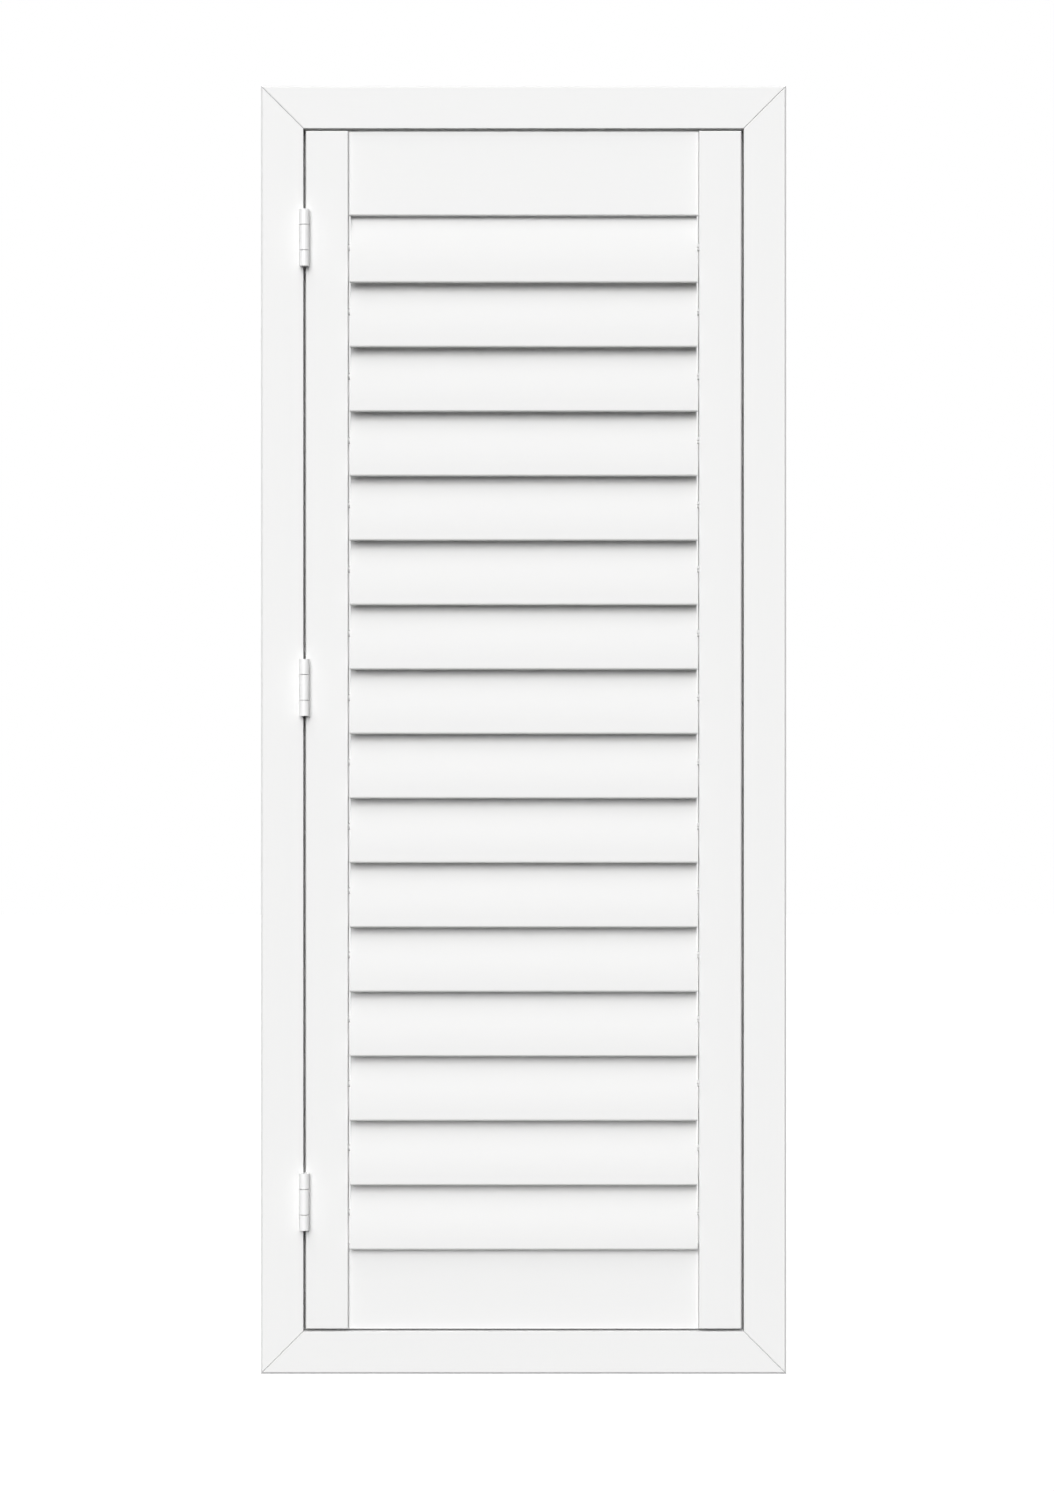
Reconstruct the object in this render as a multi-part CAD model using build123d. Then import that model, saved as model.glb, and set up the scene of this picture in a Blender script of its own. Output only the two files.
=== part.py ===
from build123d import *
import os
from math import cos, hypot, radians, sin

# Louvred window shutter: one hinged panel of tilting blades in a mitred frame.
# Millimetres. Origin under the middle of the sill, at mid-depth of the frame.
# +X right and +Z up as seen from the room, +Y towards the window.

# Frame
FRAME_W = 620.0
FRAME_H = 1520.0
FRAME_FACE = 50.0
FRAME_DEPTH = 42.0
STOP_W = 14.0
STOP_DEPTH = 12.0
FRAME_ARRIS = 2.0
FRAME_EASE = 0.4
STOP_EASE = 1.0
MITRE_V = 1.2

# Butterfly keys let into the back of the mitres
KEY_LENGTH = 36.0
KEY_END_W = 14.0
KEY_WAIST_W = 7.0
KEY_DEPTH = 10.0

# Holes for the screws that fix the jambs to the wall
WALL_HOLE_R = 2.75
WALL_HOLE_Y = -4.0
WALL_HOLE_Z = (100.0, 540.0, 980.0, 1420.0)

# Panel
PANEL_GAP = 3.0
STILE_W = 50.0
STILE_T = 27.0
RAIL_H = 99.0
RAIL_SET_BACK = 5.0
RAIL_T = 15.0
RAIL_LIP_T = 8.0
RAIL_LIP_H = 10.0
RAIL_FOOT = 0.8
JOINT_LINE_W = 0.8
JOINT_LINE_DEPTH = 3.0
PANEL_EASE = 1.0
TENON_LENGTH = 40.0
TENON_H = 44.0
TENON_T = 7.0

# Louvres
LOUVRES = 16
BLADE_CHORD = 89.0
BLADE_T = 11.0
BLADE_GAP = 2.0
NOSE_BEVEL = 1.2
NOSE_HALF = 0.9
SHOULDER_HALF = 2.0
REST_TILT = 16.0
PIVOT_INSET = 8.0
PIVOT_SIDES = 8
TENON_PIN_R = 4.0
TENON_PIN_DEPTH = 14.0
RUNNING_CLEARANCE = 0.05
BORE_END_GAP = 1.0

# Hidden tilt gear in the right stile: a rack drives a toothed sector on each louvre
PINION_TEETH = 6
SECTOR_TEETH = 4
PITCH_R = 3.4
PINION_TIP_R = 4.1
PINION_ROOT_R = 2.2
PINION_TIP_HALF = 0.4
PINION_ROOT_HALF = 1.0
PINION_W = 10.0
STRIP_T = 4.0
GEAR_END_GAP = 0.4
RACK_TEETH = 3
RACK_TIP = 0.6
RACK_ROOT = 1.0
RACK_TIP_HALF = 0.4
RACK_ROOT_HALF = 1.2
RACK_BACK_T = 4.0
RACK_END = 18.0
RACK_STOP_GAP = 1.0
GROOVE_WALL = 1.5
GROOVE_BACK_GAP = 0.5

# Butt hinges, with knuckles that stand in front of the gap
HINGE_Z = {"top": 1340.0, "middle": 810.0, "bottom": 204.0}
HINGE_LENGTH = 67.0
HINGE_MIDDLE = 31.0
KNUCKLE_R = 6.0
KNUCKLE_STANDOFF = 0.5
KNUCKLE_END_GAP = 0.8
HINGE_PIN_R = 2.0
LEAF_T = 1.3
LEAF_REACH = 24.0
LEAF_CLEAR = 0.4

# Magnetic catches on the closing side
CATCH_Z = {"upper": 1240.0, "lower": 280.0}
MAGNET_W = 9.0
MAGNET_L = 40.0
MAGNET_T = 6.0
MAGNET_PROUD = 1.2
STRIKE_W = 10.0
STRIKE_L = 52.0
STRIKE_T = 1.2
CATCH_X = 252.0

# Derived places
FRONT = -FRAME_DEPTH / 2
BACK = FRAME_DEPTH / 2
STOP_FRONT = BACK - STOP_DEPTH
REBATE_X = FRAME_W / 2 - FRAME_FACE
PANEL_X = REBATE_X - PANEL_GAP
PANEL_Z0 = FRAME_FACE + PANEL_GAP
PANEL_Z1 = FRAME_H - FRAME_FACE - PANEL_GAP
STILE_INNER = PANEL_X - STILE_W
STILE_BACK = FRONT + STILE_T
RAIL_FRONT = FRONT + RAIL_SET_BACK
RAIL_BACK = RAIL_FRONT + RAIL_T
RAIL_MIDDLE = RAIL_FRONT + RAIL_T / 2
PIVOT_Y = FRONT + PIVOT_INSET
ZONE_Z0 = PANEL_Z0 + RAIL_H
ZONE_Z1 = PANEL_Z1 - RAIL_H
PITCH_Z = (ZONE_Z1 - ZONE_Z0) / LOUVRES
PIVOTS_Z = [ZONE_Z1 - PITCH_Z * (i + 0.5) for i in range(LOUVRES)]
BLADE_X = STILE_INNER - BLADE_GAP
GEAR_X0 = STILE_INNER + STRIP_T + GEAR_END_GAP
GEAR_X1 = GEAR_X0 + PINION_W
TILT_RANGE = 180.0 - 2 * REST_TILT
TOOTH_ANGLE = 360.0 / PINION_TEETH
SECTOR_MIDDLE = TILT_RANGE / 2
SECTOR_BORE_R = hypot(PINION_TIP_R, PINION_TIP_HALF) + RUNNING_CLEARANCE
RACK_TRAVEL = PITCH_R * radians(TILT_RANGE)
RACK_BACK = PIVOT_Y + PITCH_R + RACK_ROOT + RACK_BACK_T
RACK_Z0 = PIVOTS_Z[-1] - RACK_END
RACK_Z1 = PIVOTS_Z[0] + RACK_END
GROOVE_Y0 = PIVOT_Y - SECTOR_BORE_R - GROOVE_WALL
GROOVE_Y1 = RACK_BACK + GROOVE_BACK_GAP
GROOVE_Z0 = RACK_Z0 - RACK_TRAVEL - RACK_STOP_GAP
GROOVE_Z1 = RACK_Z1 + RACK_STOP_GAP
GROOVE_X1 = GEAR_X1 + 2 * GEAR_END_GAP
HINGE_X = -(REBATE_X + PANEL_X) / 2
HINGE_Y = FRONT - KNUCKLE_R - KNUCKLE_STANDOFF


def block(x0, x1, y0, y1, z0, z1):
    """A box between two corners."""
    middle = Pos((x0 + x1) / 2, (y0 + y1) / 2, (z0 + z1) / 2)
    return middle * Box(x1 - x0, y1 - y0, z1 - z0)


def rod_x(radius, x0, x1, y, z):
    """A round bar along X."""
    return Pos((x0 + x1) / 2, y, z) * Rot(0, 90, 0) * Cylinder(radius, x1 - x0)


def rod_z(radius, x, y, z0, z1):
    """A round bar along Z."""
    return Pos(x, y, (z0 + z1) / 2) * Cylinder(radius, z1 - z0)


def pivot_bar(radius, x0, x1, y, z, bore=False):
    """An eight-sided bar along X, because pivots repeat; radius to its corners, or to its flats for a bore."""
    section = RegularPolygon(radius, PIVOT_SIDES, major_radius=not bore)
    return Pos(x0, y, z) * extrude(Plane.YZ * section, x1 - x0)


def prism_x(outline, x0, x1):
    """A closed outline of (y, z) points, drawn along X."""
    face = make_face(Polyline(*outline, close=True))
    return Pos(x0, 0, 0) * extrude(Plane.YZ * face, x1 - x0)


def front_edges(solid, axis):
    """The straight edges along one axis on the room side."""
    return solid.edges().filter_by(axis).group_by(Axis.Y)[0]


def frame_bar(length):
    """A frame member along X with its outer edge on z = 0 and both ends mitred."""
    half = length / 2
    inner = FRAME_FACE + STOP_W
    section = make_face(Polyline(
        (FRONT, 0), (BACK, 0), (BACK, inner), (STOP_FRONT, inner),
        (STOP_FRONT, FRAME_FACE), (FRONT, FRAME_FACE), close=True))
    bar = extrude(Plane.YZ * section, half, both=True)
    bar = chamfer(front_edges(bar, Axis.X).sort_by(Axis.Z)[-1], FRAME_EASE)
    bar = chamfer(front_edges(bar, Axis.X).sort_by(Axis.Z)[0], FRAME_ARRIS)
    bar = chamfer(bar.edges().filter_by(Axis.X).group_by(Axis.Z)[-1].sort_by(Axis.Y)[0], STOP_EASE)
    for side in (-1, 1):
        waste = make_face(Polyline(
            (side * half, 0), (side * half, inner + 1), (side * (half - inner - 1), inner + 1), close=True))
        bar -= extrude(Plane.XZ * waste, FRAME_DEPTH, both=True)
        v_cut = Rot(45, 0, 0) * Box(FRAME_W, MITRE_V, MITRE_V)
        bar -= Pos(side * half, FRONT, 0) * Rot(0, side * 45, 0) * v_cut
    return bar


def corner_key():
    """A butterfly key lying across a mitre, flush with the back of the frame."""
    end, half = KEY_LENGTH / 2, KEY_END_W / 2
    waist = KEY_WAIST_W / 2
    bow = make_face(Polyline(
        (-end, -half), (0, -waist), (end, -half), (end, half), (0, waist), (-end, half), close=True))
    return Pos(0, BACK, 0) * extrude(Plane.XZ * bow, KEY_DEPTH)


def corner_keys():
    """The key of each corner, square to its mitre."""
    keys = []
    inset = FRAME_FACE / 2
    for x in (-1, 1):
        for z in (-1, 1):
            place = Pos(x * (FRAME_W / 2 - inset), 0, FRAME_H / 2 + z * (FRAME_H / 2 - inset))
            keys.append(place * Rot(0, x * z * 45, 0) * corner_key())
    return keys


def magnet(z):
    """A bar magnet let into the stop, a little proud of it."""
    y0 = STOP_FRONT - MAGNET_PROUD
    return block(CATCH_X - MAGNET_W / 2, CATCH_X + MAGNET_W / 2, y0, y0 + MAGNET_T,
                 z - MAGNET_L / 2, z + MAGNET_L / 2)


def strike(z):
    """The steel plate on the back of the stile that meets a magnet."""
    plate = block(CATCH_X - STRIKE_W / 2, CATCH_X + STRIKE_W / 2, STILE_BACK, STILE_BACK + STRIKE_T,
                  z - STRIKE_L / 2, z + STRIKE_L / 2)
    return chamfer(plate.edges().filter_by(Axis.Y), STRIKE_T)


def frame_members():
    """Head, sill and jambs, with the seats of keys, magnets and wall screws cut in."""
    sill = frame_bar(FRAME_W)
    jamb = frame_bar(FRAME_H)
    middle = FRAME_H / 2
    members = {
        "frame_sill": sill,
        "frame_head": Pos(0, 0, FRAME_H) * Rot(0, 180, 0) * sill,
        "frame_jamb_left": Pos(-FRAME_W / 2, 0, middle) * Rot(0, 90, 0) * jamb,
        "frame_jamb_right": Pos(FRAME_W / 2, 0, middle) * Rot(0, -90, 0) * jamb,
    }
    for name in members:
        for key in corner_keys():
            members[name] -= key
    for z in WALL_HOLE_Z:
        hole = rod_x(WALL_HOLE_R, -FRAME_W, FRAME_W, WALL_HOLE_Y, z)
        members["frame_jamb_left"] -= hole
        members["frame_jamb_right"] -= hole
    for z in CATCH_Z.values():
        members["frame_jamb_right"] -= magnet(z)
    return members


def stile(side):
    """An upright of the panel; side is -1 for the hinge side and 1 for the closing side."""
    x0, x1 = sorted((side * STILE_INNER, side * PANEL_X))
    body = block(x0, x1, FRONT, STILE_BACK, PANEL_Z0, PANEL_Z1)
    return chamfer(front_edges(body, Axis.Z) + front_edges(body, Axis.X), PANEL_EASE)


def rail(z0, z1, lip_z0):
    """A cross rail set back from the stiles, with a fine line at each joint and a thin lip to the louvres."""
    body = block(-STILE_INNER, STILE_INNER, RAIL_FRONT, RAIL_BACK, z0, z1)
    body = chamfer(front_edges(body, Axis.X), PANEL_EASE)
    for side in (-1, 1):
        line_x0, line_x1 = sorted((side * STILE_INNER, side * (STILE_INNER - JOINT_LINE_W)))
        body -= block(line_x0, line_x1, RAIL_FRONT, RAIL_FRONT + JOINT_LINE_DEPTH, z0, z1)
    return body - block(-STILE_INNER, STILE_INNER, RAIL_FRONT + RAIL_LIP_T, RAIL_BACK, lip_z0, lip_z0 + RAIL_LIP_H)


def rail_tenons():
    """Loose tenons that join the rails to the stiles."""
    tenons = []
    for x in (-STILE_INNER, STILE_INNER):
        for z in (PANEL_Z0 + RAIL_H / 2, PANEL_Z1 - RAIL_H / 2):
            tenons.append(Pos(x, RAIL_MIDDLE, z) * Box(TENON_LENGTH, TENON_T, TENON_H))
    return tenons


def panel_members():
    """Stiles and rails, with their tenon seats, louvre bores and gear groove."""
    members = {
        "stile_left": stile(-1),
        "stile_right": stile(1),
        "rail_top": rail(ZONE_Z1, PANEL_Z1, ZONE_Z1),
        "rail_bottom": rail(PANEL_Z0 - RAIL_FOOT, ZONE_Z0, ZONE_Z0 - RAIL_LIP_H),
    }
    for name in members:
        for tenon in rail_tenons():
            members[name] -= tenon
    bore_end = -(STILE_INNER + TENON_PIN_DEPTH + BORE_END_GAP)
    for z in PIVOTS_Z:
        members["stile_left"] -= pivot_bar(
            TENON_PIN_R + RUNNING_CLEARANCE, bore_end, -BLADE_X, PIVOT_Y, z, bore=True)
    members["stile_right"] -= block(STILE_INNER - 1, GROOVE_X1, GROOVE_Y0, GROOVE_Y1, GROOVE_Z0, GROOVE_Z1)
    return members


def bearing_strip():
    """The strip that closes the gear groove; the louvres' toothed sectors turn in its bores."""
    strip = block(STILE_INNER, STILE_INNER + STRIP_T, GROOVE_Y0, GROOVE_Y1, GROOVE_Z0, GROOVE_Z1)
    for z in PIVOTS_Z:
        strip -= pivot_bar(SECTOR_BORE_R, BLADE_X, GEAR_X0, PIVOT_Y, z, bore=True)
    return strip


def blade_profile():
    """The lens section of a blade: x along the chord, y across it."""
    end = BLADE_CHORD / 2
    shoulder = end - NOSE_BEVEL
    upper = ThreePointArc((-shoulder, SHOULDER_HALF), (0, BLADE_T / 2), (shoulder, SHOULDER_HALF))
    lower = ThreePointArc((shoulder, -SHOULDER_HALF), (0, -BLADE_T / 2), (-shoulder, -SHOULDER_HALF))
    noses = [
        Polyline((side * shoulder, SHOULDER_HALF), (side * end, NOSE_HALF),
                 (side * end, -NOSE_HALF), (side * shoulder, -SHOULDER_HALF))
        for side in (-1, 1)
    ]
    return make_face([upper, lower] + noses)


def turned(x, y, angle):
    """A point turned about the origin, in degrees."""
    a = radians(angle)
    return (x * cos(a) - y * sin(a), x * sin(a) + y * cos(a))


def sector_outline():
    """A louvre's sector in (y, z) about its pivot: teeth on the arc that meets the rack, a plain lobe opposite."""
    points = []
    for k in range(SECTOR_TEETH):
        angle = SECTOR_MIDDLE + TOOTH_ANGLE * (k - (SECTOR_TEETH - 1) / 2)
        for x, y in ((PINION_ROOT_R, -PINION_ROOT_HALF), (PINION_TIP_R, -PINION_TIP_HALF),
                     (PINION_TIP_R, PINION_TIP_HALF), (PINION_ROOT_R, PINION_ROOT_HALF)):
            points.append(turned(x, y, angle))
    lobe = SECTOR_MIDDLE + 180.0
    for angle in (lobe - TOOTH_ANGLE / 2, lobe + TOOTH_ANGLE / 2):
        points.append(turned(PINION_TIP_R, 0, angle))
    return points


def louvre():
    """A blade at its rest tilt about the X axis, with its tenon at one end and its toothed sector at the other."""
    blade = extrude(Plane.YZ * Rot(0, 0, 90 - REST_TILT) * blade_profile(), BLADE_X, both=True)
    tenon = pivot_bar(TENON_PIN_R, -(STILE_INNER + TENON_PIN_DEPTH), -BLADE_X, 0, 0)
    sector = prism_x(sector_outline(), BLADE_X, GEAR_X1)
    return blade + tenon + sector


def rack_outline():
    """The rack's (y, z) outline at rest, toothed only where a louvre's sector runs."""
    pitch_y = PIVOT_Y + PITCH_R
    root_y = pitch_y + RACK_ROOT
    tip_y = pitch_y - RACK_TIP
    points = [(RACK_BACK, RACK_Z1), (RACK_BACK, RACK_Z0), (root_y, RACK_Z0)]
    for pivot_z in reversed(PIVOTS_Z):
        for k in range(RACK_TEETH):
            angle = SECTOR_MIDDLE + TOOTH_ANGLE * (k - (RACK_TEETH - 1) / 2)
            z = pivot_z + PITCH_R * radians(angle)
            points += [(root_y, z - RACK_ROOT_HALF), (tip_y, z - RACK_TIP_HALF),
                       (tip_y, z + RACK_TIP_HALF), (root_y, z + RACK_ROOT_HALF)]
    return points + [(root_y, RACK_Z1)]


def knuckle(z0, z1):
    """One rolled barrel of a hinge, before its pin hole."""
    return rod_z(KNUCKLE_R, HINGE_X, HINGE_Y, z0, z1)


def leaf(x0, x1, z, barrels):
    """A flat leaf in the gap, its barrels on the hinge line and the webs that join them."""
    plate_y0 = HINGE_Y + KNUCKLE_R + LEAF_CLEAR
    solid = block(x0, x1, plate_y0, plate_y0 + LEAF_REACH, z - HINGE_LENGTH / 2, z + HINGE_LENGTH / 2)
    for z0, z1 in barrels:
        solid += knuckle(z0, z1) + block(x0, x1, HINGE_Y, plate_y0, z0, z1)
    return solid - rod_z(HINGE_PIN_R + RUNNING_CLEARANCE, HINGE_X, HINGE_Y, z - HINGE_LENGTH, z + HINGE_LENGTH)


def hinge(z):
    """Frame leaf with the two outer barrels, panel leaf with the middle one, and the pin."""
    end, inner = HINGE_LENGTH / 2, HINGE_MIDDLE / 2
    outer_barrels = [(z - end, z - inner), (z + inner, z + end)]
    inner_barrel = [(z - inner + KNUCKLE_END_GAP, z + inner - KNUCKLE_END_GAP)]
    return {
        "frame_leaf": leaf(-REBATE_X, -REBATE_X + LEAF_T, z, outer_barrels),
        "panel_leaf": leaf(-PANEL_X - LEAF_T, -PANEL_X, z, inner_barrel),
        "pin": rod_z(HINGE_PIN_R, HINGE_X, HINGE_Y, z - end, z + end),
    }


def build():
    """Every piece by its name."""
    nodes = frame_members()
    nodes["corner_keys"] = Compound(children=corner_keys())
    nodes.update(panel_members())
    nodes["rail_tenons"] = Compound(children=rail_tenons())
    nodes["tilt_bearing_strip"] = bearing_strip()
    nodes["tilt_rack"] = prism_x(rack_outline(), GEAR_X0, GEAR_X1)
    for place, z in HINGE_Z.items():
        for piece, solid in hinge(z).items():
            nodes[f"hinge_{place}_{piece}"] = solid
    for place, z in CATCH_Z.items():
        nodes[f"magnet_{place}"] = magnet(z)
        nodes[f"strike_{place}"] = strike(z)
    slat = louvre()
    for number, z in enumerate(PIVOTS_Z, start=1):
        nodes[f"louvre_{number:02d}"] = Pos(0, PIVOT_Y, z) * slat
    return nodes


os.makedirs("parts", exist_ok=True)
for name, shape in build().items():
    shape.label = name
    export_step(shape, f"parts/{name}.step")
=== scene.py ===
from math import radians, sqrt

import bpy
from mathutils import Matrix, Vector


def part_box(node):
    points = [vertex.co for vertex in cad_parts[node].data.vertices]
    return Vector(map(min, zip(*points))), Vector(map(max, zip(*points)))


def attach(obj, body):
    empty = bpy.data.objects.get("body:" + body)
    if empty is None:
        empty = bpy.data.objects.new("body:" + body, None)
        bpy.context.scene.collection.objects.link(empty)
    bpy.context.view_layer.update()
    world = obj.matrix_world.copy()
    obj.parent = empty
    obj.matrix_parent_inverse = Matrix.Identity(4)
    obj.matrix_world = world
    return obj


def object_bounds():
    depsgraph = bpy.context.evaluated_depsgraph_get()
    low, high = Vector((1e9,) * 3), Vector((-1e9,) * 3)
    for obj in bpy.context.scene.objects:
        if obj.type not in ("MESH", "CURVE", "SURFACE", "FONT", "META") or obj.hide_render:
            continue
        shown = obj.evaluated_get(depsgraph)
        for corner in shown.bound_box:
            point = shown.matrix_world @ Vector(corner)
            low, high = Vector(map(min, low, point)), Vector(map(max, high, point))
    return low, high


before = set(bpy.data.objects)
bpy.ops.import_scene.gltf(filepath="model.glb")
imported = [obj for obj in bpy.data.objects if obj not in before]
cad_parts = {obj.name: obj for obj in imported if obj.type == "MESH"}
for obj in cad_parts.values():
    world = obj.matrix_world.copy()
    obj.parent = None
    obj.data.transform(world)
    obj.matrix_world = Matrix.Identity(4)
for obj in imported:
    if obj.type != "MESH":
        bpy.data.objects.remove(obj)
cad_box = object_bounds()

# Lengths are in metres and angles in degrees. The frame is that of the solids: +X right and
# +Z up as seen from the room, +Y towards the window.

# Camera: level, straight in front of the shutter.
LENS_MM = 85.0
CAMERA_PLACE = (0.004, -4.178, 0.741)
CAMERA_LEVEL = 90.0

# Studio: a dim white room with wide soft lamps. The front lamp is low, so that each lip throws
# a short shadow. The back lamps shine upwards, so that they light the back and the sides but
# not through the louvres.
ROOM_LIGHT = 0.01
LAMPS = {
    "front_lamp": {"from": (-0.14, -1.0, 0.38), "strength": 2.92, "width": 40.0},
    "high_lamp": {"from": (-0.1, -0.5, 0.87), "strength": 1.1, "width": 50.0},
    "back_left_lamp": {"from": (-1.0, 1.0, -0.9), "strength": 1.5, "width": 30.0},
    "back_right_lamp": {"from": (1.0, 1.0, -0.9), "strength": 1.5, "width": 30.0},
}

# The floor is pale to the eye, and dark as a source of light from below.
FLOOR_DROP = 0.9
FLOOR_SPREAD = 60.0
FLOOR_GREY = 0.03
FLOOR_PALE = 0.9
FLOOR_GLOW = 0.52

# Depth of the surface texture, on wood, painted or bare, and on everything else.
WOOD_DEPTH = 0.0003
FINE_DEPTH = 0.0002

# Satin paint: near white, with the wood's grain drawn out along each piece. The louvres lean
# into the light, so their tone is written darker and comes out as the frame's does.
PAINT_TONE = 0.825
LOUVRE_TONE = 0.745
TONE_SPREAD = 0.01
PAINT_WARMTH = 0.003
PAINT_SHEEN = 0.25
PAINT_ROUGHNESS = 0.48
PAINT_RELIEF = 0.05
GRAIN_ACROSS = 540.0
GRAIN_ALONG = 24.0
GRAIN_SHARE = 0.4
SPRAY_SCALE = 900.0
SPRAY_ROUGHNESS = 0.08
SPRAY_HEIGHT = 0.5
CLOUD_SCALE = 9.0
CLOUD_ROUGHNESS = 0.06
# A thin dark line of painted shade along each of the frame's mitres, for the shade in the groove
# between the members.
MITRE_SHADE_TONE = (0.42, 0.42, 0.42, 1.0)
MITRE_SHADE_HALF = 0.0006

# White enamel of the hinges.
ENAMEL_TONES = (0.87, 0.87, 0.87, 1.0), (0.90, 0.90, 0.90, 1.0)
ENAMEL_CLOUD_SCALE = 60.0
LEAF_ROUGHNESS = 0.28
PIN_ROUGHNESS = 0.2
PEEL_SCALE = 700.0
PEEL_ROUGHNESS = 0.06
PEEL_RELIEF = 0.03

# Bare hardwood of the keys in the mitres and of the tenons.
KEY_TONES = (0.44, 0.29, 0.16, 1.0), (0.66, 0.49, 0.31, 1.0)
KEY_GRAIN_ALONG = 60.0
KEY_GRAIN_ACROSS = 900.0
KEY_GRAIN_DETAIL = 4.0
KEY_ROUGHNESS = 0.55
KEY_RELIEF = 0.15
PORE_SCALE = 2200.0
PORE_DETAIL = 1.0
PORE_ROUGHNESS = 0.2
PORE_HEIGHT = 0.4

# Moulded nylon of the rack and its strip.
NYLON_TONES = (0.76, 0.76, 0.73, 1.0), (0.82, 0.82, 0.80, 1.0)
NYLON_ROUGHNESS = 0.42
FLOW_SCALES = (300.0, 300.0, 40.0)
FLOW_ROUGHNESS = 0.14
FLOW_RELIEF = 0.05

# Sintered ferrite of the magnets.
FERRITE_TONES = (0.05, 0.05, 0.055, 1.0), (0.15, 0.15, 0.16, 1.0)
FERRITE_ROUGHNESS = 0.5
GRIT_SCALE = 2600.0
GRIT_DETAIL = 3.0
GRIT_ROUGHNESS = 0.3
GRIT_RELIEF = 0.25

# Dull zinc of the strikes.
ZINC_TONES = (0.22, 0.225, 0.235, 1.0), (0.33, 0.335, 0.345, 1.0)
ZINC_ROUGHNESS = 0.34
DRAWN_SCALES = (2400.0, 2400.0, 60.0)
DRAWN_ROUGHNESS = 0.16
DRAWN_RELIEF = 0.08
BLOOM_SCALE = 160.0
BLOOM_ROUGHNESS = 0.08

# Countersunk screws, a hair proud of the plates that they hold. The recess's length and width
# are shares of the head's radius.
SCREW_PROUD = 0.00022
SCREW_SUNK = 0.0008
SCREW_EDGE = 0.0001
SCREW_EDGE_STEPS = 2
SCREW_SIDES = 40
SCREW_SMOOTH_ANGLE = 30.0
RECESS_DEPTH = 0.0002
RECESS_LENGTH = 1.15
RECESS_WIDTH = 0.26
RECESS_TURNS = (0.0, 90.0)
TOP_NORMAL_Z = 0.9
HINGE_SCREW_R = 0.0034
HINGE_SCREW_PITCH = 0.022
HINGE_SCREW_STEPS = (-1, 0, 1)
HINGE_SCREW_STAGGER = 0.004
STRIKE_SCREW_R = 0.0024
STRIKE_SCREW_INSET = 0.0034

# A leaf's open face looks to the right on the frame's side and to the left on the panel's.
HINGES = ("top", "middle", "bottom")
LEAVES = {"frame_leaf": (1, "frame"), "panel_leaf": (-1, "panel")}
LEAF_BACK_BAND = 0.001
CATCHES = ("upper", "lower")

# Sockets of a Mix node that is set to mix colours, where one name stands for several sockets.
MIX_FACTOR, MIX_DARK, MIX_LIGHT, MIX_RESULT = 0, 6, 7, 2


class Wire:
    """A node's socket that can be used in arithmetic; each operation adds its own node."""

    def __init__(self, tree, socket=None):
        self.tree = tree
        self.socket = socket

    def node(self, kind, settings=None, inputs=None, output=0):
        """Adds a node, sets it, fills its sockets with values or links, and gives one output."""
        made = self.tree.nodes.new(kind)
        for key, value in (settings or {}).items():
            setattr(made, key, value)
        for key, value in (inputs or {}).items():
            if isinstance(value, Wire):
                self.tree.links.new(value.socket, made.inputs[key])
            else:
                made.inputs[key].default_value = value
        return Wire(self.tree, made.outputs[output])

    def beside(self, output):
        """Another output of the same node."""
        return Wire(self.tree, self.socket.node.outputs[output])

    def feed(self, shader, socket):
        self.tree.links.new(self.socket, shader.inputs[socket])

    def math(self, operation, first, second=0.0):
        return self.node("ShaderNodeMath", {"operation": operation}, {0: first, 1: second})

    def __add__(self, other):
        return self.math("ADD", self, other)

    def __sub__(self, other):
        return self.math("SUBTRACT", self, other)

    def __mul__(self, other):
        return self.math("MULTIPLY", self, other)

    __radd__ = __add__
    __rmul__ = __mul__

    def __rsub__(self, other):
        return self.math("SUBTRACT", other, self)

    def __abs__(self):
        return self.math("ABSOLUTE", self)

    def at_most(self, other):
        return self.math("MINIMUM", self, other)

    def at_least(self, other):
        return self.math("MAXIMUM", self, other)


class Finish:
    """A material in the making: its shader, and the few textures that the finishes share."""

    def __init__(self, name):
        self.material = bpy.data.materials.new(name)
        self.material.use_nodes = True
        self.shader = self.material.node_tree.nodes["Principled BSDF"]
        self.start = Wire(self.material.node_tree)
        self.place = self.start.node("ShaderNodeTexCoord", output="Object")

    def set(self, socket, value):
        self.shader.inputs[socket].default_value = value

    def vary(self, socket, wire):
        wire.feed(self.shader, socket)

    def noise(self, scale, detail=2.0, place=None):
        return self.start.node("ShaderNodeTexNoise", inputs={
            "Vector": place or self.place, "Scale": scale, "Detail": detail})

    def drawn_out(self, scales, detail=3.0):
        """A noise with its own scale on each axis."""
        place = self.start.node("ShaderNodeMapping", inputs={
            "Vector": self.place, "Scale": scales})
        return self.noise(1.0, detail, place)

    def between(self, factor, dark, light):
        """A colour between two, by a factor from 0 to 1."""
        return self.start.node("ShaderNodeMix", {"data_type": "RGBA"}, {
            MIX_FACTOR: factor, MIX_DARK: dark, MIX_LIGHT: light}, output=MIX_RESULT)

    def relief(self, height, strength, depth):
        self.vary("Normal", self.start.node("ShaderNodeBump", inputs={
            "Height": height, "Strength": strength, "Distance": depth}))


def from_middle(finish):
    """How far a point lies from the frame's middle, sideways and upwards."""
    sideways = finish.start.node(
        "ShaderNodeSeparateXYZ", inputs={"Vector": finish.place}, output="X")
    return abs(sideways), abs(sideways.beside("Z") - (cad_box[0][2] + cad_box[1][2]) / 2)


def mitre_shade(finish):
    """Where shade is painted along the joint between two members of the frame: 1 on the joint,
    falling to 0 a little beside it.
    """
    sideways, upwards = from_middle(finish)
    corner_x, corner_z = cad_box[1][0], (cad_box[1][2] - cad_box[0][2]) / 2
    beside = abs(sideways - upwards - (corner_x - corner_z)) * (1.0 / sqrt(2.0))
    return (1.0 - beside * (1.0 / MITRE_SHADE_HALF)).at_least(0.0)


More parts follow.
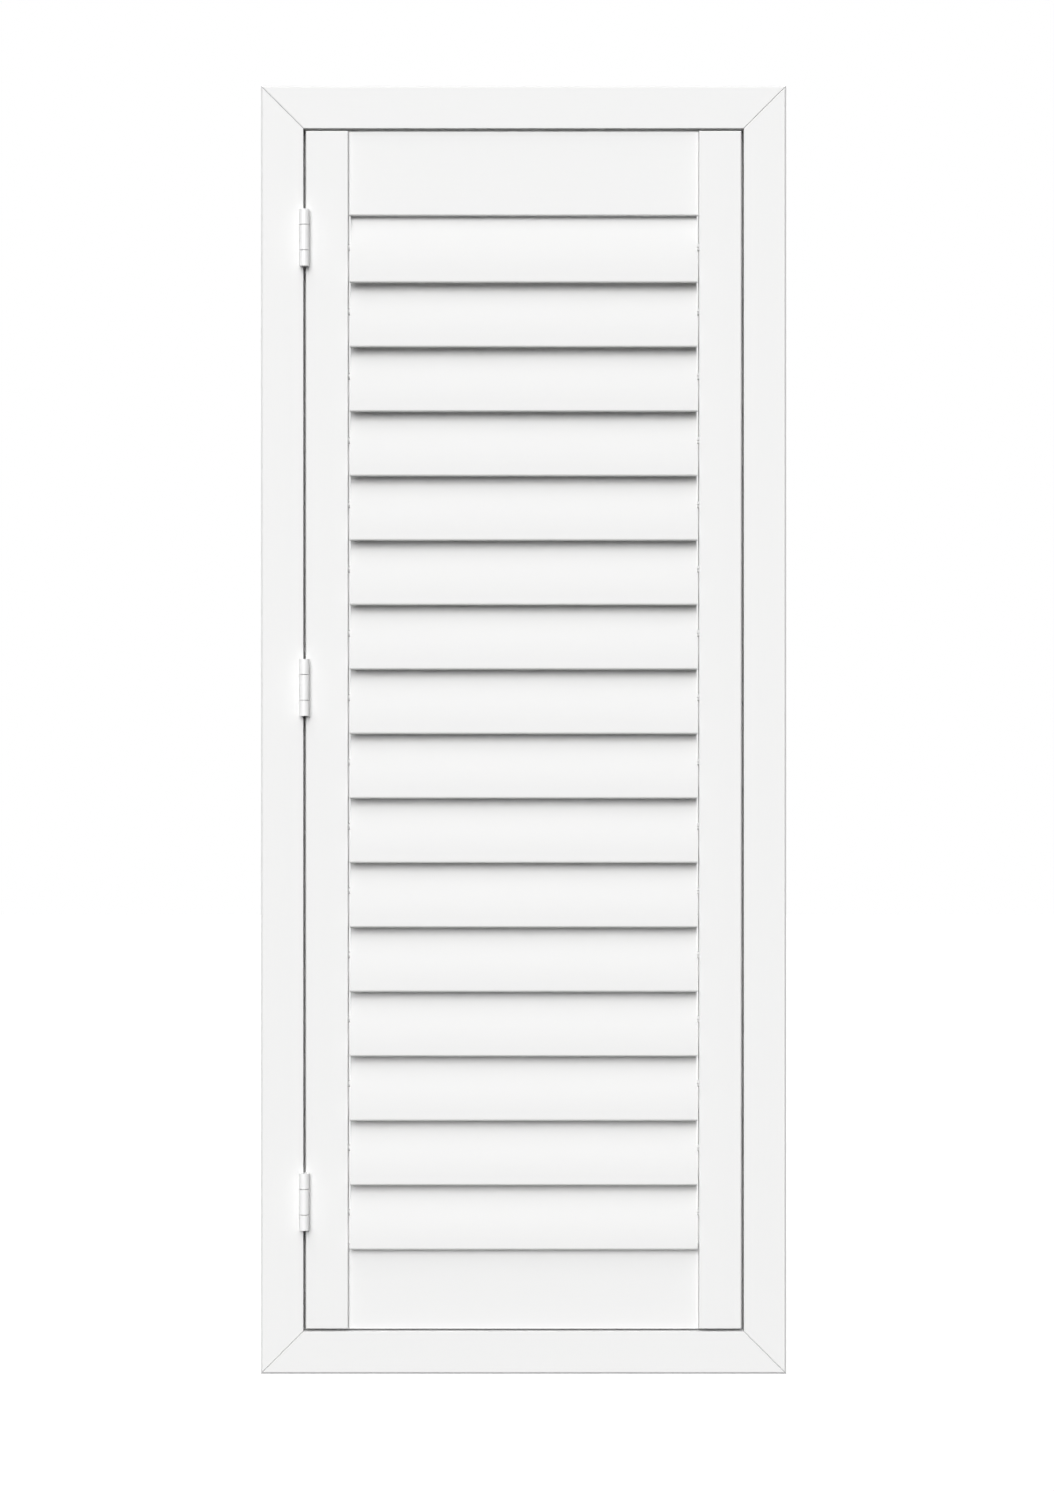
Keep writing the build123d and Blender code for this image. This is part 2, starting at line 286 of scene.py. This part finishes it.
def paint_shade(tone):
    """A white of the given tone with a trace of warmth."""
    return tone, tone, tone - PAINT_WARMTH, 1.0


def satin_paint(name, grain_axis, tone=PAINT_TONE, mitre_shaded=False):
    """Sprayed white satin over wood: a trace of grain, fine spray, slow changes of tone; on the
    frame, a dark line of painted shade along each mitre.
    """
    paint = Finish(name)
    scales = [GRAIN_ACROSS] * 3
    scales["xyz".index(grain_axis)] = GRAIN_ALONG
    grain = paint.drawn_out(scales)
    spray = paint.noise(SPRAY_SCALE)
    cloud = paint.noise(CLOUD_SCALE)
    colour = paint.between(
        GRAIN_SHARE * grain + (1.0 - GRAIN_SHARE) * cloud,
        paint_shade(tone - TONE_SPREAD), paint_shade(tone + TONE_SPREAD))
    # On the frame, a dark line of painted shade along each mitre.
    if mitre_shaded:
        colour = paint.between(mitre_shade(paint), colour, MITRE_SHADE_TONE)
    paint.vary("Base Color", colour)
    paint.vary("Roughness", PAINT_ROUGHNESS + SPRAY_ROUGHNESS * spray + CLOUD_ROUGHNESS * cloud)
    paint.set("Specular IOR Level", PAINT_SHEEN)
    paint.relief(grain + SPRAY_HEIGHT * spray, PAINT_RELIEF, WOOD_DEPTH)
    return paint.material


def enamel(name, roughness):
    """Stove-enamelled steel: white, smoother than the paint, with a slight orange peel."""
    coat = Finish(name)
    peel = coat.noise(PEEL_SCALE)
    cloud = coat.noise(ENAMEL_CLOUD_SCALE)
    coat.vary("Base Color", coat.between(cloud, *ENAMEL_TONES))
    coat.vary("Roughness", roughness + PEEL_ROUGHNESS * peel)
    coat.relief(peel, PEEL_RELIEF, FINE_DEPTH)
    return coat.material


def key_wood():
    """Bare hardwood, its grain along the butterfly keys, which lie square to their mitres."""
    wood = Finish("key_wood")
    sideways, upwards = from_middle(wood)
    ring_place = wood.start.node("ShaderNodeCombineXYZ", inputs={
        "X": (sideways - upwards) * (KEY_GRAIN_ALONG / sqrt(2.0)),
        "Z": (sideways + upwards) * (KEY_GRAIN_ACROSS / sqrt(2.0))})
    rings = wood.noise(1.0, KEY_GRAIN_DETAIL, ring_place)
    pores = wood.noise(PORE_SCALE, PORE_DETAIL)
    wood.vary("Base Color", wood.between(rings, *KEY_TONES))
    wood.vary("Roughness", KEY_ROUGHNESS + PORE_ROUGHNESS * pores)
    wood.relief(rings + PORE_HEIGHT * pores, KEY_RELIEF, WOOD_DEPTH)
    return wood.material


def gear_nylon():
    """Milky moulded nylon, a little uneven in tone and gloss along its length."""
    nylon = Finish("gear_nylon")
    flow = nylon.drawn_out(FLOW_SCALES)
    nylon.vary("Base Color", nylon.between(flow, *NYLON_TONES))
    nylon.vary("Roughness", NYLON_ROUGHNESS + FLOW_ROUGHNESS * flow)
    nylon.relief(flow, FLOW_RELIEF, FINE_DEPTH)
    return nylon.material


def ferrite():
    """Sintered magnet: dark grey, matt and grainy."""
    magnet = Finish("sintered_ferrite")
    grit = magnet.noise(GRIT_SCALE, GRIT_DETAIL)
    magnet.vary("Base Color", magnet.between(grit, *FERRITE_TONES))
    magnet.vary("Roughness", FERRITE_ROUGHNESS + GRIT_ROUGHNESS * grit)
    magnet.relief(grit, GRIT_RELIEF, FINE_DEPTH)
    return magnet.material


def zinc_plate():
    """Dull zinc on steel, drawn along the strike."""
    zinc = Finish("zinc_plate")
    drawn = zinc.drawn_out(DRAWN_SCALES)
    bloom = zinc.noise(BLOOM_SCALE)
    zinc.vary("Base Color", zinc.between(bloom, *ZINC_TONES))
    zinc.set("Metallic", 1.0)
    zinc.vary("Roughness", ZINC_ROUGHNESS + DRAWN_ROUGHNESS * drawn + BLOOM_ROUGHNESS * bloom)
    zinc.relief(drawn, DRAWN_RELIEF, FINE_DEPTH)
    return zinc.material


def dress(material, *names):
    """Gives a finish to solids by name."""
    for name in names:
        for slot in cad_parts[name].material_slots:
            slot.material = material


def select_only(*objects):
    bpy.ops.object.select_all(action="DESELECT")
    for obj in objects:
        obj.select_set(True)
    bpy.context.view_layer.objects.active = objects[0]


def recess_bar(radius, turn):
    """One bar of the cross that is sunk into a screw head."""
    bpy.ops.object.select_all(action="DESELECT")
    bpy.ops.mesh.primitive_cube_add(
        size=1.0, location=(0, 0, SCREW_PROUD), rotation=(0, 0, radians(turn)),
        scale=(radius * RECESS_LENGTH, radius * RECESS_WIDTH, 2 * RECESS_DEPTH))
    return bpy.context.object


def screw_head(name, radius):
    """A countersunk head facing +Z, with an eased rim and a cross recess.

    The face of the plate that it holds is at z = 0.
    """
    bpy.ops.object.select_all(action="DESELECT")
    bpy.ops.mesh.primitive_cylinder_add(
        vertices=SCREW_SIDES, radius=radius, depth=SCREW_PROUD + SCREW_SUNK,
        location=(0, 0, (SCREW_PROUD - SCREW_SUNK) / 2))
    head = bpy.context.object
    head.name = name
    bpy.ops.object.transform_apply(location=True, rotation=True, scale=True)
    bpy.ops.object.mode_set(mode="EDIT")
    bpy.ops.mesh.select_mode(type="FACE")
    bpy.ops.mesh.select_all(action="DESELECT")
    bpy.ops.object.mode_set(mode="OBJECT")
    for face in head.data.polygons:
        face.select = face.normal.z > TOP_NORMAL_Z
    bpy.ops.object.mode_set(mode="EDIT")
    bpy.ops.mesh.bevel(offset=SCREW_EDGE, segments=SCREW_EDGE_STEPS, affect="EDGES")
    bpy.ops.object.mode_set(mode="OBJECT")
    for turn in RECESS_TURNS:
        bar = recess_bar(radius, turn)
        select_only(head)
        recess = head.modifiers.new("recess", "BOOLEAN")
        recess.operation = "DIFFERENCE"
        recess.solver = "EXACT"
        recess.object = bar
        bpy.ops.object.modifier_apply(modifier=recess.name)
        bpy.data.objects.remove(bar)
    return head


def screw_row(name, pattern, places, outward, finish, body):
    """Copies of one head, facing outward at the given places, as one piece on a body."""
    heads = []
    for place in places:
        head = bpy.data.objects.new(name, pattern.data.copy())
        bpy.context.scene.collection.objects.link(head)
        head.rotation_euler = Vector(outward).to_track_quat("Z", "Y").to_euler()
        head.location = place
        heads.append(head)
    select_only(*heads)
    bpy.ops.object.join()
    bpy.ops.object.transform_apply(location=True, rotation=True, scale=True)
    bpy.ops.object.shade_smooth_by_angle(angle=radians(SCREW_SMOOTH_ANGLE))
    row = heads[0]
    row.name = name
    row.data.materials.clear()
    row.data.materials.append(finish)
    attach(row, body)


def leaf_face(leaf, side):
    """The x of a hinge leaf's open face, read at its back edge, away from the barrels."""
    back_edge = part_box(leaf)[1][1] - LEAF_BACK_BAND
    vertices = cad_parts[leaf].data.vertices
    xs = [vertex.co.x for vertex in vertices if vertex.co.y > back_edge]
    return max(xs) if side > 0 else min(xs)


def leaf_middle(leaf):
    """The y and z of the middle of a leaf's flat part, which starts behind its round barrels."""
    low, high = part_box(leaf)
    plate_front = cad_box[0][1] + (high[0] - low[0])
    return (plate_front + high[1]) / 2, (low[2] + high[2]) / 2


def hinge_screws(finish):
    """Three heads on each leaf, set off so that they don't meet face to face when it is shut."""
    pattern = screw_head("hinge_screw", HINGE_SCREW_R)
    for place in HINGES:
        for piece, (side, body) in LEAVES.items():
            leaf = f"hinge_{place}_{piece}"
            x = leaf_face(leaf, side)
            y, z = leaf_middle(leaf)
            places = [(x, y + side * HINGE_SCREW_STAGGER, z + step * HINGE_SCREW_PITCH)
                      for step in HINGE_SCREW_STEPS]
            screw_row(f"{leaf}_screws", pattern, places, (side, 0, 0),
                      finish, body)
    bpy.data.objects.remove(pattern)


def strike_screws(finish):
    """Two heads on each strike, clear of the magnet that it meets."""
    pattern = screw_head("strike_screw", STRIKE_SCREW_R)
    for place in CATCHES:
        low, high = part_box(f"strike_{place}")
        x = (low[0] + high[0]) / 2
        heights = (low[2] + STRIKE_SCREW_INSET, high[2] - STRIKE_SCREW_INSET)
        places = [(x, high[1], z) for z in heights]
        screw_row(f"strike_{place}_screws", pattern, places, (0, 1, 0),
                  finish, "panel")
    bpy.data.objects.remove(pattern)


def seen_rays(start):
    """1 for the rays that show the white room to the eye: directly, in a gloss or in glass."""
    camera = start.node("ShaderNodeLightPath", output="Is Camera Ray")
    seen = camera + camera.beside("Is Glossy Ray") + camera.beside("Is Transmission Ray")
    return seen.at_most(1.0)


def white_room():
    """The world: dim as a light, white to the eye."""
    world = bpy.data.worlds.new("white_room")
    world.use_nodes = True
    bpy.context.scene.world = world
    background = world.node_tree.nodes["Background"]
    light = ROOM_LIGHT + (1.0 - ROOM_LIGHT) * seen_rays(Wire(world.node_tree))
    light.feed(background, "Color")


def soft_lamps():
    """Wide lamps far away, each lighting from one direction."""
    for name, lamp in LAMPS.items():
        light = bpy.data.lights.new(name, "SUN")
        light.energy = lamp["strength"]
        light.angle = radians(lamp["width"])
        holder = bpy.data.objects.new(name, light)
        holder.rotation_euler = Vector(lamp["from"]).to_track_quat("Z", "Y").to_euler()
        bpy.context.scene.collection.objects.link(holder)


def pale_floor():
    """A matt floor well below the shutter, which hangs at window height; it takes the shadow."""
    bpy.ops.object.select_all(action="DESELECT")
    bpy.ops.mesh.primitive_plane_add(size=FLOOR_SPREAD, location=(0, 0, -FLOOR_DROP))
    floor = bpy.context.object
    floor.name = "pale_floor"
    pale = Finish("pale_floor")
    seen = seen_rays(pale.start)
    pale.vary("Base Color", FLOOR_GREY + (FLOOR_PALE - FLOOR_GREY) * seen)
    pale.set("Roughness", 1.0)
    pale.set("Specular IOR Level", 0.0)
    pale.set("Emission Strength", 1.0)
    pale.vary("Emission Color", FLOOR_GLOW * seen)
    floor.data.materials.append(pale.material)
    floor.visible_shadow = False


def front_camera():
    """Level, looking along +Y at the shutter's front."""
    lens = bpy.data.cameras.new("front_camera")
    lens.lens = LENS_MM
    holder = bpy.data.objects.new("front_camera", lens)
    holder.location = CAMERA_PLACE
    holder.rotation_euler = (radians(CAMERA_LEVEL), 0, 0)
    bpy.context.scene.collection.objects.link(holder)
    bpy.context.scene.camera = holder


louvres = [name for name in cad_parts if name.startswith("louvre_")]
dress(satin_paint("frame_paint_upright", "z", mitre_shaded=True), "frame_jamb_left", "frame_jamb_right")
dress(satin_paint("frame_paint_level", "x", mitre_shaded=True), "frame_head", "frame_sill")
dress(satin_paint("panel_paint_upright", "z"), "stile_left", "stile_right")
dress(satin_paint("panel_paint_level", "x"), "rail_top", "rail_bottom")
dress(satin_paint("louvre_paint", "x", LOUVRE_TONE), *louvres)
dress(key_wood(), "corner_keys", "rail_tenons")
dress(gear_nylon(), "tilt_rack", "tilt_bearing_strip")
dress(ferrite(), *[f"magnet_{place}" for place in CATCHES])

hinge_enamel = enamel("hinge_enamel", LEAF_ROUGHNESS)
dress(hinge_enamel, *[f"hinge_{place}_{leaf}" for place in HINGES for leaf in LEAVES])
dress(enamel("hinge_pin_enamel", PIN_ROUGHNESS), *[f"hinge_{place}_pin" for place in HINGES])
hinge_screws(hinge_enamel)

strike_zinc = zinc_plate()
dress(strike_zinc, *[f"strike_{place}" for place in CATCHES])
strike_screws(strike_zinc)

bpy.context.scene.view_settings.view_transform = "Standard"
white_room()
soft_lamps()
pale_floor()
front_camera()
